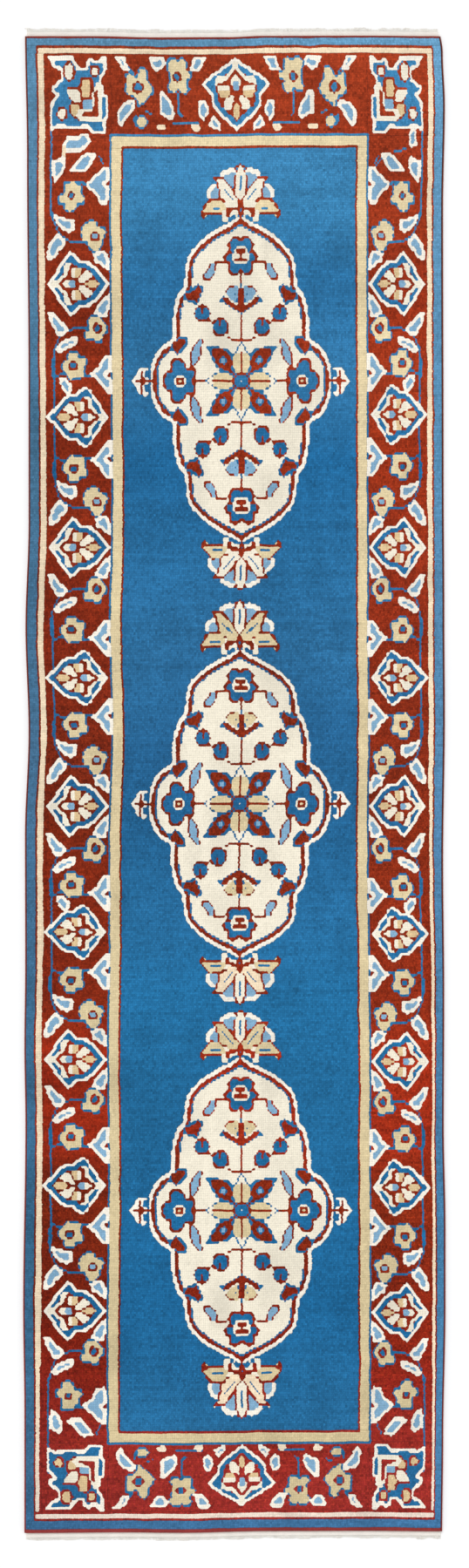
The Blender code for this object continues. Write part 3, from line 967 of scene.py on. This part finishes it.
def numbered(fine, shape):
    """The fine grid's points that are used, and each one's number among them."""
    used = np.zeros(shape[0] * shape[1], bool)
    used[fine] = True
    number = np.cumsum(used) - 1
    return used, number


def slots(yarn, materials):
    """The materials of the yarns that are used, and each knot's slot among them."""
    present, slot = np.unique(yarn, return_inverse=True)
    return [materials[k] for k in present], slot.reshape(yarn.shape)


def pile_piece(name, knots, surface, yarn, tone, materials):
    """One closed mesh of pile over the knots given, four faces to a knot."""
    x, y, z = surface
    width = x.shape[1]
    r, c = np.nonzero(knots)
    start = 2 * r * width + 2 * c
    quads = []
    for dr in (0, 1):
        for dc in (0, 1):
            a = start + dr * width + dc
            quads.append(np.stack([a, a + 1, a + width + 1, a + width], 1))
    top = np.stack(quads, 1).reshape(-1, 4)
    used, number = numbered(top.reshape(-1), x.shape)
    points = np.stack([x.reshape(-1)[used], y.reshape(-1)[used], z.reshape(-1)[used]], 1)
    top = number[top]
    centre = points[top].mean(1)

    padded = np.pad(knots, 1)
    walls = []
    sides = (
        (-1, 0, (0, 1, 2)),
        (0, 1, (2, width + 2, 2 * width + 2)),
        (1, 0, (2 * width + 2, 2 * width + 1, 2 * width)),
        (0, -1, (2 * width, width, 0)),
    )
    for dr, dc, steps in sides:
        open_side = ~padded[r + 1 + dr, c + 1 + dc]
        walls.append(start[open_side, None] + np.array(steps))
    owners = np.concatenate([np.nonzero(~padded[r + 1 + dr, c + 1 + dc])[0] for dr, dc, _ in sides])
    walls = number[np.concatenate(walls)]

    edge = np.unique(walls)
    pull = np.zeros_like(points)
    weight = np.zeros(len(points))
    for corner in range(4):
        np.add.at(pull, top[:, corner], centre - points[top[:, corner]])
        np.add.at(weight, top[:, corner], 1)
    inward = pull[edge, :2] / weight[edge, None]
    inward /= np.maximum(np.linalg.norm(inward, axis=1, keepdims=True), 1e-9)
    points[edge, :2] += inward * EDGE_GAP

    corners = start[:, None] + np.array([0, 2, 2 * width + 2, 2 * width])
    corners = number[corners]
    below = np.full(len(points), -1)
    kept = np.unique(corners)
    below[kept] = len(points) + np.arange(len(kept))
    floor = points[kept].copy()
    floor[:, 2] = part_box("field_pile")[0].z
    points = np.concatenate([points, floor])
    bottom = below[corners][:, ::-1]
    first, mid, last = walls.T
    skirt = np.stack([last, mid, first, below[first], below[last]], 1)

    used_materials, slot = slots(yarn[r, c], materials)
    index, tones = (
        np.concatenate([np.repeat(knot, 4), knot, knot[owners]])
        for knot in (slot, tone[r, c])
    )
    smooth = np.arange(len(index)) < len(top)
    return mesh_object(
        name,
        points,
        [top, bottom, skirt],
        used_materials,
        index,
        smooth,
        [("tone", tones)],
    )


# --- which knots belong to which piece ---


def zone_boxes():
    """Every band of pile as (node, near row, far row, left column, right column)."""
    boxes = []
    *bands, (_, *field) = band_edges()
    for (name, left, right, far, near), (_, (a, b, c, d)) in zip(bands, PILE_BANDS):
        boxes.append((f"{name}_far", far - c, far, left, right))
        boxes.append((f"{name}_near", near, near + d, left, right))
        if a:
            boxes.append((f"{name}_left", near + d, far - c, left, left + a))
            boxes.append((f"{name}_right", near + d, far - c, right - b, right))
        if name == "border_pile":
            for side, (low, high) in (("left", (left, left + a)), ("right", (right - b, right))):
                boxes.append((f"corner_pile_far_{side}", far - c, far, low, high))
                boxes.append((f"corner_pile_near_{side}", near, near + d, low, high))
    left, right, far, near = field
    boxes.append(("field_pile", near, far, left, right))
    return boxes


def zone_map():
    """The name of each piece's node, and a grid of which one each knot is in."""
    zones = np.zeros((ROWS, COLUMNS), np.int8)
    names = []
    for name, near, far, left, right in zone_boxes():
        zones[near:far, left:right] = len(names)
        names.append(name)
    for index, (place, row) in enumerate(zip(("far", "middle", "near"), STAR_ROWS)):
        for side, flip in (("far", 1), ("near", -1)):
            pendant_pen(zones, index, row, flip).area(len(names), both_halves(PENDANT_HALF))
            names.append(f"pendant_pile_{place}_{side}")
        for side, flip in (("left", -1), ("right", 1)):
            pen = Pen(zones, STAR_COLUMN + flip * FINIAL_STEP, row, flip_u=flip)
            pen.area(len(names), FINIAL_EDGE)
            names.append(f"finial_pile_{place}_{side}")
        Pen(zones, STAR_COLUMN, row).area(len(names), all_round(MEDALLION_EDGE))
        names.append(f"medallion_pile_{place}")
    return names, zones


# --- materials ---


def linear(channel):
    channel /= 255
    return channel / 12.92 if channel <= 0.04045 else ((channel + 0.055) / 1.055) ** 2.4


def colour(r, g, b):
    return (linear(r), linear(g), linear(b), 1.0)


class Nodes:
    """Adds nodes to a material and joins them."""

    def __init__(self, name):
        self.material = bpy.data.materials.new(name)
        self.material.use_nodes = True
        self.tree = self.material.node_tree
        self.shader = self.tree.nodes["Principled BSDF"]
        self.at = self.add("ShaderNodeTexCoord").outputs["Object"]

    def add(self, kind, inputs=(), **settings):
        node = self.tree.nodes.new(kind)
        for key, value in settings.items():
            setattr(node, key, value)
        for key, value in dict(inputs).items():
            self.join(value, node.inputs[key])
        return node

    def join(self, value, socket):
        if isinstance(value, bpy.types.NodeSocket):
            self.tree.links.new(value, socket)
        else:
            socket.default_value = value

    def maths(self, operation, a, b):
        return self.add("ShaderNodeMath", {0: a, 1: b}, operation=operation).outputs[0]

    def stretched(self, scale):
        return self.add("ShaderNodeMapping", {"Vector": self.at, "Scale": scale}).outputs[0]

    def noise(self, scale, detail=2.0, stretch=None):
        vector = self.stretched(stretch) if stretch else self.at
        node = self.add("ShaderNodeTexNoise", {"Vector": vector, "Scale": scale, "Detail": detail})
        return node.outputs["Fac"]

    def ranged(self, value, low, high, source=(0.0, 1.0)):
        inputs = {"Value": value, "To Min": low, "To Max": high}
        inputs |= {"From Min": source[0], "From Max": source[1]}
        return self.add("ShaderNodeMapRange", inputs).outputs["Result"]

    def ramp(self, value, stops):
        node = self.add("ShaderNodeValToRGB", {"Fac": value})
        elements = node.color_ramp.elements
        while len(elements) < len(stops):
            elements.new(0.5)
        for element, (place, shade) in zip(elements, stops):
            element.position = place
            element.color = colour(*shade)
        return node.outputs["Color"]

    def mix(self, share, a, b, blend="MIX"):
        node = self.add("ShaderNodeMix", data_type="RGBA", blend_type=blend)
        self.join(share, node.inputs["Factor"])
        self.join(a, node.inputs[6])
        self.join(b, node.inputs[7])
        return node.outputs[2]

    def scaled(self, shade, value):
        node = self.add("ShaderNodeVectorMath", {0: shade, "Scale": value}, operation="SCALE")
        return node.outputs[0]


def finish_wool(nodes, shade, roughness=0.9, sheen=0.08, bump=0.25, fibre=1400.0):
    """Gives a shade the surface of cut wool."""
    shader = nodes.shader
    nodes.join(shade, shader.inputs["Base Color"])
    shader.inputs["Roughness"].default_value = roughness
    shader.inputs["Sheen Weight"].default_value = sheen
    shader.inputs["Sheen Roughness"].default_value = 0.5
    shader.inputs["Specular IOR Level"].default_value = 0.06
    height = nodes.noise(fibre, 3.0)
    bumped = nodes.add("ShaderNodeBump", {"Strength": bump, "Distance": 0.0006, "Height": height})
    nodes.join(bumped.outputs["Normal"], shader.inputs["Normal"])
    return nodes.material


def wool(name, along, lively=0.05, heather=None, share=0.0, across=None, grain=0.3):
    """Knotted wool. along lists (place from near to far, colour), for the changes of dye and the
    painted light and shade along the rug.
    """
    nodes = Nodes(name)
    xyz = nodes.add("ShaderNodeSeparateXYZ", {"Vector": nodes.at})
    # The ramp along the rug holds changes of dye together with painted light and shade from end to
    # end.
    if len(along) > 1:
        bend = nodes.ranged(nodes.noise(3.0, 2.0, (1.5, 1.0, 1.0)), -0.03, 0.03)
        place = nodes.ranged(xyz.outputs["Y"], 0.0, 1.0, (-HALF_LENGTH, HALF_LENGTH))
        shade = nodes.ramp(nodes.maths("ADD", place, bend), along)
    else:
        shade = nodes.mix(nodes.noise(40.0), colour(*along[0][1]), colour(*along[0][1]))
    if heather:
        speck = nodes.ranged(nodes.noise(420.0, 3.0), -0.6, 1.4)
        speck = nodes.maths("MULTIPLY", nodes.maths("MAXIMUM", speck, 0.0), share)
        shade = nodes.mix(speck, shade, colour(*heather))
    # Painted light and shade of the nap: across scales the colour from darker on the left side to
    # lighter on the right.
    if across:
        side = nodes.ranged(xyz.outputs["X"], across[0], across[1], (-HALF_WIDTH, HALF_WIDTH))
        shade = nodes.scaled(shade, side)
    tone = nodes.add("ShaderNodeAttribute", attribute_name="tone").outputs["Fac"]
    lively_tone = nodes.ranged(tone, 1 - 2.5 * lively, 1 + 2.5 * lively, (-2.5, 2.5))
    shade = nodes.scaled(shade, lively_tone)
    fine = nodes.ranged(nodes.noise(FIBRE_GRAIN, 2.0), 1 - grain, 1 + grain)
    # Painted shade: the colour is painted darker where the pile lies low between the tufts.
    dip = (PILE_TOP - TUFT_DIP - 0.0004, PILE_TOP - 0.0003)
    depth = nodes.ranged(xyz.outputs["Z"], PAINTED_HOLLOW_SHADE, 1.0, dip)
    shade = nodes.scaled(nodes.scaled(shade, fine), depth)
    return finish_wool(nodes, shade)


# --- the ground weave, the edges and the ends ---


def foundation(surface, yarn, tone, materials):
    """The woven ground with the backs of the knots on its underside."""
    x, y, _ = surface
    x, y = x[::2, ::2], y[::2, ::2]
    low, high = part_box("foundation_weave")
    flat = np.stack([x.reshape(-1), y.reshape(-1), np.full(x.size, low.z + BACKS_RAISED)], 1)
    upper = flat.copy()
    upper[:, 2] = high.z
    faces, rim, after = sheet_faces(np.arange(x.size).reshape(x.shape))
    bottom, top = faces[:, [0, 3, 2, 1]], faces + x.size
    walls = np.stack([rim, after, after + x.size, rim + x.size], 1)
    wools, slot = slots(yarn, materials)
    index = np.concatenate([slot.reshape(-1), np.full(len(top) + len(walls), len(wools))])
    tones = np.concatenate([tone.reshape(-1), np.zeros(len(top) + len(walls))])
    return mesh_object(
        "ground_weave_cloth",
        np.concatenate([flat, upper]),
        [bottom, top, walls],
        wools + [materials["cotton"]],
        index,
        None,
        [("tone", tones)],
    )


def sheet_faces(number):
    """The faces over a grid of points, and its rim as pairs of one point and the next."""
    a, b, c, d = number[:-1, :-1], number[:-1, 1:], number[1:, 1:], number[1:, :-1]
    rim = np.concatenate([number[0], number[1:, -1], number[-1, :-1][::-1], number[1:-1, 0][::-1]])
    return np.stack([a, b, c, d], -1).reshape(-1, 4), rim, np.roll(rim, -1)


def tube(name, centre, radii, sides, material):
    """A tube along a path. radii is (rings, sides), the radius at each point round each ring."""
    rings = len(centre)
    angle = np.arange(sides) * 2 * math.pi / sides
    x = centre[:, 0, None] + radii * np.cos(angle)
    z = centre[:, 2, None] + radii * np.sin(angle)
    y = np.repeat(centre[:, 1, None], sides, 1)
    points = np.stack([x, y, z], -1).reshape(-1, 3)
    number = np.arange(rings * sides).reshape(rings, sides)
    around = np.roll(number, -1, 1)
    walls = np.stack([number[:-1], number[1:], around[1:], around[:-1]], -1).reshape(-1, 4)
    faces = [walls, number[:1], number[-1:, ::-1]]
    return mesh_object(name, points, faces, [material], smooth=np.ones(sum(map(len, faces)), bool))


def selvedge(side, materials, rng):
    """Wool wound side by side over the edge cord, and the plied cord inside it."""
    low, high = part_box(f"selvedge_overcasting_{side}")
    x0, z0, length = (low.x + high.x) / 2, (low.z + high.z) / 2, high.y - low.y

    def edge_tube(name, node, y, radii, material):
        path = np.stack([*lay(np.full(len(y), x0), y), np.full(len(y), z0)], 1)
        piece = tube(f"{name}_{side}", path, radii, radii.shape[1], material)
        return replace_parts(piece, f"{node}_{side}")

    turns = int(length / WRAP_PITCH)
    y = np.linspace(low.y, high.y, turns * WRAP_STEPS + 1)
    angle = np.arange(WRAP_SIDES) * 2 * math.pi / WRAP_SIDES
    phase = y[:, None] / WRAP_PITCH * 2 * math.pi + angle
    uneven = np.repeat(rng.normal(0, 1, turns + 2), WRAP_STEPS)[: len(y), None]
    radii = (high.x - low.x) / 2 * (0.93 + 0.10 * np.abs(np.cos(phase / 2)) + 0.02 * uneven)
    sleeve = edge_tube("selvedge_wrapping", "selvedge_overcasting", y, radii, materials["wrap"])

    low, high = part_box(f"selvedge_cord_{side}")
    y = np.linspace(low.y, high.y, int(length / CORD_STEP))
    angle = np.arange(CORD_SIDES) * 2 * math.pi / CORD_SIDES
    twist = y[:, None] / CORD_TWIST * 2 * math.pi + angle
    radii = (high.x - low.x) / 2 * (0.88 + 0.12 * np.abs(np.cos(1.5 * twist)))
    return sleeve, edge_tube("edge_cord", "selvedge_cord", y, radii, materials["cotton"])


def kilim(end, materials, rng):
    """The flat band at an end: weft beaten over pairs of warps, so that it looks ribbed."""
    low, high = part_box(f"kilim_band_{end}")
    across = int((high.x - low.x) / WARP_PITCH) * RIB_STEPS
    along = KILIM_PICKS * PICK_STEPS
    x = np.linspace(low.x, high.x, across + 1)
    y = np.linspace(low.y, high.y, along + 1)
    x, y = np.meshgrid(x, y)
    rib = np.abs(np.sin(np.arange(across + 1) * math.pi / RIB_STEPS))[None, :]
    pick = np.arange(along + 1) // PICK_STEPS
    over = ((np.arange(across + 1) // RIB_STEPS)[None, :] + pick[:, None]) % 2
    bump = rib * (0.55 + 0.45 * over)
    thick = high.z - low.z
    top = low.z + thick * (0.72 + 0.28 * bump) + rng.normal(0, 0.00005, x.shape)
    base = np.full(x.shape, low.z)
    x, y = lay(x, y)
    upper, rim, after = sheet_faces(np.arange(x.size).reshape(x.shape))
    under = upper[:, [0, 3, 2, 1]] + x.size
    walls = np.stack([rim, rim + x.size, after + x.size, after], 1)
    points = np.concatenate([np.stack([x, y, z], -1).reshape(-1, 3) for z in (top, base)])
    smooth = np.concatenate([np.ones(len(upper), bool), np.zeros(len(under) + len(walls), bool)])
    band = mesh_object(
        f"kilim_weave_{end}", points, [upper, under, walls], [materials["kilim"]], smooth=smooth
    )
    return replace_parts(band, f"kilim_band_{end}")


def fringe(end, direction, materials, rng):
    """The cut warp ends, as short frayed strands, each a thin tapering tube."""
    low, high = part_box(f"fringe_{end}")
    root = low.y if direction > 0 else high.y
    count = int((high.x - low.x) / STRAND_PITCH)
    base = np.linspace(low.x + 0.001, high.x - 0.001, count) + rng.normal(0, 0.0003, count)

    def in_clumps(size, clumps):
        return np.interp(base, np.linspace(low.x, high.x, clumps), rng.normal(0, size, clumps))

    share = 0.82 + 0.17 * in_clumps(1, 60) + rng.normal(0, 0.1, count)
    length = (high.y - low.y) * np.clip(share, 0.3, 1.35)
    lean = in_clumps(0.4, 90) + rng.normal(0, 0.35, count)
    curl = rng.normal(0, 0.6, count)
    share = np.linspace(0, 1, STRAND_STEPS + 1)
    side = length[:, None] * (lean[:, None] * share + curl[:, None] * share**2 * 0.6)
    forward = length[:, None] * share * np.sqrt(np.maximum(1 - 0.35 * share**2, 0.3))
    x = base[:, None] + side
    y = root + direction * forward
    thick = STRAND_RADIUS * (1 - 0.55 * share) * (1 + 0.25 * rng.normal(0, 1, (count, 1)))
    z = low.z + thick + 0.0007 * np.abs(rng.normal(0, 1, (count, 1))) * (1 - 0.6 * share)
    x, y = lay(x, y)
    angle = np.arange(STRAND_SIDES) * 2 * math.pi / STRAND_SIDES
    heading = np.arctan2(np.gradient(x, axis=1), np.abs(np.gradient(y, axis=1)) * direction)
    ring_x = x[..., None] + (thick * np.cos(heading))[..., None] * np.cos(angle)
    ring_y = y[..., None] - (thick * np.sin(heading))[..., None] * np.cos(angle)
    ring_z = z[..., None] + thick[..., None] * np.sin(angle)
    points = np.stack([ring_x, ring_y, ring_z], -1).reshape(-1, 3)
    number = np.arange(count * (STRAND_STEPS + 1) * STRAND_SIDES)
    number = number.reshape(count, STRAND_STEPS + 1, STRAND_SIDES)
    around = np.roll(number, -1, 2)
    walls = np.stack([number[:, :-1], around[:, :-1], around[:, 1:], number[:, 1:]], -1)
    walls = walls.reshape(-1, 4)
    if direction < 0:
        walls = walls[:, ::-1]
    faces = [walls, number[:, 0], number[:, -1, ::-1]]
    piece = mesh_object(
        f"fringe_strands_{end}",
        points,
        faces,
        [materials["fringe"]],
        smooth=np.ones(sum(map(len, faces)), bool),
    )
    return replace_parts(piece, f"fringe_{end}")


# --- dyes, from the near end to the far end, with painted light and shade along the rug mixed in ---

# Each is (place from the near end to the far end, sRGB)
FIELD_BLUE = (
    (0.07, (40, 110, 158)), (0.15, (30, 107, 159)), (0.27, (34, 108, 157)), (0.36, (36, 114, 165)),
    (0.41, (40, 112, 162)), (0.47, (36, 102, 150)), (0.53, (40, 104, 153)), (0.59, (47, 114, 163)),
    (0.65, (42, 112, 162)), (0.71, (32, 104, 155)), (0.77, (51, 119, 167)), (0.83, (44, 114, 164)),
    (0.88, (58, 130, 178)), (0.95, (64, 133, 180)),
)
EDGE_BLUE = (
    (0.0, (66, 118, 164)), (0.02, (68, 120, 165)), (0.05, (72, 123, 163)), (0.2, (64, 117, 156)),
    (0.5, (79, 126, 164)), (0.75, (83, 134, 170)), (1.0, (102, 154, 190)),
)
BORDER_RED = (
    (0.04, (146, 38, 42)), (0.09, (132, 24, 26)), (0.13, (118, 18, 12)), (0.2, (110, 27, 10)),
    (0.24, (112, 28, 11)), (0.26, (144, 33, 16)), (0.32, (160, 38, 17)), (0.35, (127, 35, 16)),
    (0.42, (115, 31, 14)), (0.47, (104, 29, 13)), (0.53, (112, 33, 17)), (0.6, (121, 35, 18)),
    (0.65, (131, 40, 20)), (0.71, (127, 36, 15)), (0.77, (143, 47, 24)), (0.82, (127, 37, 17)),
    (0.88, (138, 47, 24)), (1.0, (147, 55, 30)),
)
END_RED = ((0.0, (150, 60, 58)), (0.5, (140, 60, 50)), (1.0, (138, 54, 46)))
WRAP_RED = ((0.0, (176, 74, 72)), (0.5, (148, 70, 60)), (1.0, (148, 74, 62)))
GUARD_CREAM = (
    (0.0, (242, 225, 212)), (0.03, (243, 226, 208)), (0.1, (247, 226, 194)), (1.0, (247, 226, 194)),
)
KHAKI_DYE = ((0.0, (217, 199, 156)), (1.0, (234, 216, 174)))


def make_materials():
    def twisted(name, shade, roughness=0.85):
        nodes = Nodes(name)
        tint = nodes.mix(nodes.noise(60.0), colour(*shade), colour(*(v * 0.93 for v in shade)))
        fine = nodes.ranged(nodes.noise(800.0, 2.0), 0.9, 1.1)
        return finish_wool(nodes, nodes.scaled(tint, fine), roughness, 0.15, 0.35)

    # The across ranges paint light and shade of the nap: each colour darker on the left side,
    # lighter on the right.
    return {
        MID: wool("wool_mid_blue", FIELD_BLUE, 0.11, across=(0.93, 1.07)),
        LIGHT: wool("wool_light_blue", ((0, (134, 176, 206)),)),
        RED: wool(
            "wool_madder_red", BORDER_RED, 0.16, (194, 72, 32), 0.5, across=(0.84, 1.16), grain=0.4
        ),
        CREAM: wool("wool_cream", GUARD_CREAM, across=(0.95, 1.05), grain=0.15),
        IVORY: wool("wool_ivory", ((0, (246, 238, 218)),), 0.02, grain=0.12),
        WHITE: wool("wool_white", ((0, (252, 245, 231)),), 0.03, grain=0.12),
        KHAKI: wool("wool_khaki", KHAKI_DYE, across=(0.965, 1.045), grain=0.15),
        TAN: wool("wool_tan", ((0, (226, 198, 152)),)),
        DARK: wool("wool_end_red", END_RED),
        EDGE: wool("wool_edge_blue", EDGE_BLUE, lively=0.1, across=(0.8, 1.2)),
        "cotton": twisted("cotton_ground", (222, 214, 198)),
        "kilim": twisted("cotton_kilim", (250, 246, 238)),
        "fringe": twisted("cotton_fringe", (250, 247, 240)),
        "wrap": wool("wool_overcasting", WRAP_RED, 0.1),
    }


def knot_tones(rng):
    """A brightness for each knot: its own, its row's, and slow changes of the dye."""
    tone = rng.normal(0, 1.0, (ROWS, COLUMNS))
    tone += rng.normal(0, 0.2, (ROWS, 1))
    tone += random_field(rng, (ROWS, COLUMNS), (1, 6), 0.35)
    tone += random_field(rng, (ROWS, COLUMNS), (2, 40), 0.35)
    tone += random_field(rng, (ROWS, COLUMNS), (22, 60), 0.5)
    return np.clip(tone, -2.5, 2.5)


# --- light, floor and camera ---


def studio():
    world = bpy.data.worlds.new("studio")
    bpy.context.scene.world = world
    world.use_nodes = True
    world.node_tree.nodes["Background"].inputs["Color"].default_value = (1, 1, 1, 1)
    world.node_tree.nodes["Background"].inputs["Strength"].default_value = SKY
    lamp = bpy.data.lights.new("soft_lamp", "SUN")
    lamp.energy = LAMP_STRENGTH
    lamp.angle = math.radians(LAMP_SPREAD)
    obj = bpy.data.objects.new("soft_lamp", lamp)
    obj.rotation_euler = Vector(LAMP_FROM).to_track_quat("Z", "Y").to_euler()
    bpy.context.scene.collection.objects.link(obj)

    bpy.ops.mesh.primitive_plane_add(size=FLOOR_SIDE, location=(0, 0, -FLOOR_GAP))
    floor = bpy.context.object
    floor.name = "floor"
    nodes = Nodes("pale_floor")
    nodes.shader.inputs["Base Color"].default_value = (*FLOOR_SHADE, 1)
    nodes.shader.inputs["Roughness"].default_value = 0.9
    floor.data.materials.append(nodes.material)


def camera():
    data = bpy.data.cameras.new("camera")
    data.sensor_width = SENSOR
    data.lens = LENS
    obj = bpy.data.objects.new("camera", data)
    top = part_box("field_pile")[1].z
    obj.location = (VIEW_X, 0, top + VIEW_TALL * LENS / SENSOR)
    bpy.context.scene.collection.objects.link(obj)
    bpy.context.scene.camera = obj


def main():
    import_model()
    rng = np.random.default_rng(SEED)
    materials = make_materials()
    grid = draw_rug()
    surface = knot_surface(rng, grid)
    tone = knot_tones(rng)
    names, zones = zone_map()
    pieces = []
    for index, node in enumerate(names):
        piece = pile_piece(f"{node}_knots", zones == index, surface, grid, tone, materials)
        pieces.append(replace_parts(piece, node))
    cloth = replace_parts(foundation(surface, grid, tone, materials), "foundation_weave")
    for side in ("left", "right"):
        pieces += selvedge(side, materials, rng)
    for end, direction in (("far", 1), ("near", -1)):
        pieces.append(kilim(end, materials, rng))
        pieces.append(fringe(end, direction, materials, rng))
    for piece in pieces + [cloth]:
        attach(piece, "root")
    bpy.context.scene.view_settings.view_transform = "Standard"
    studio()
    camera()


main()
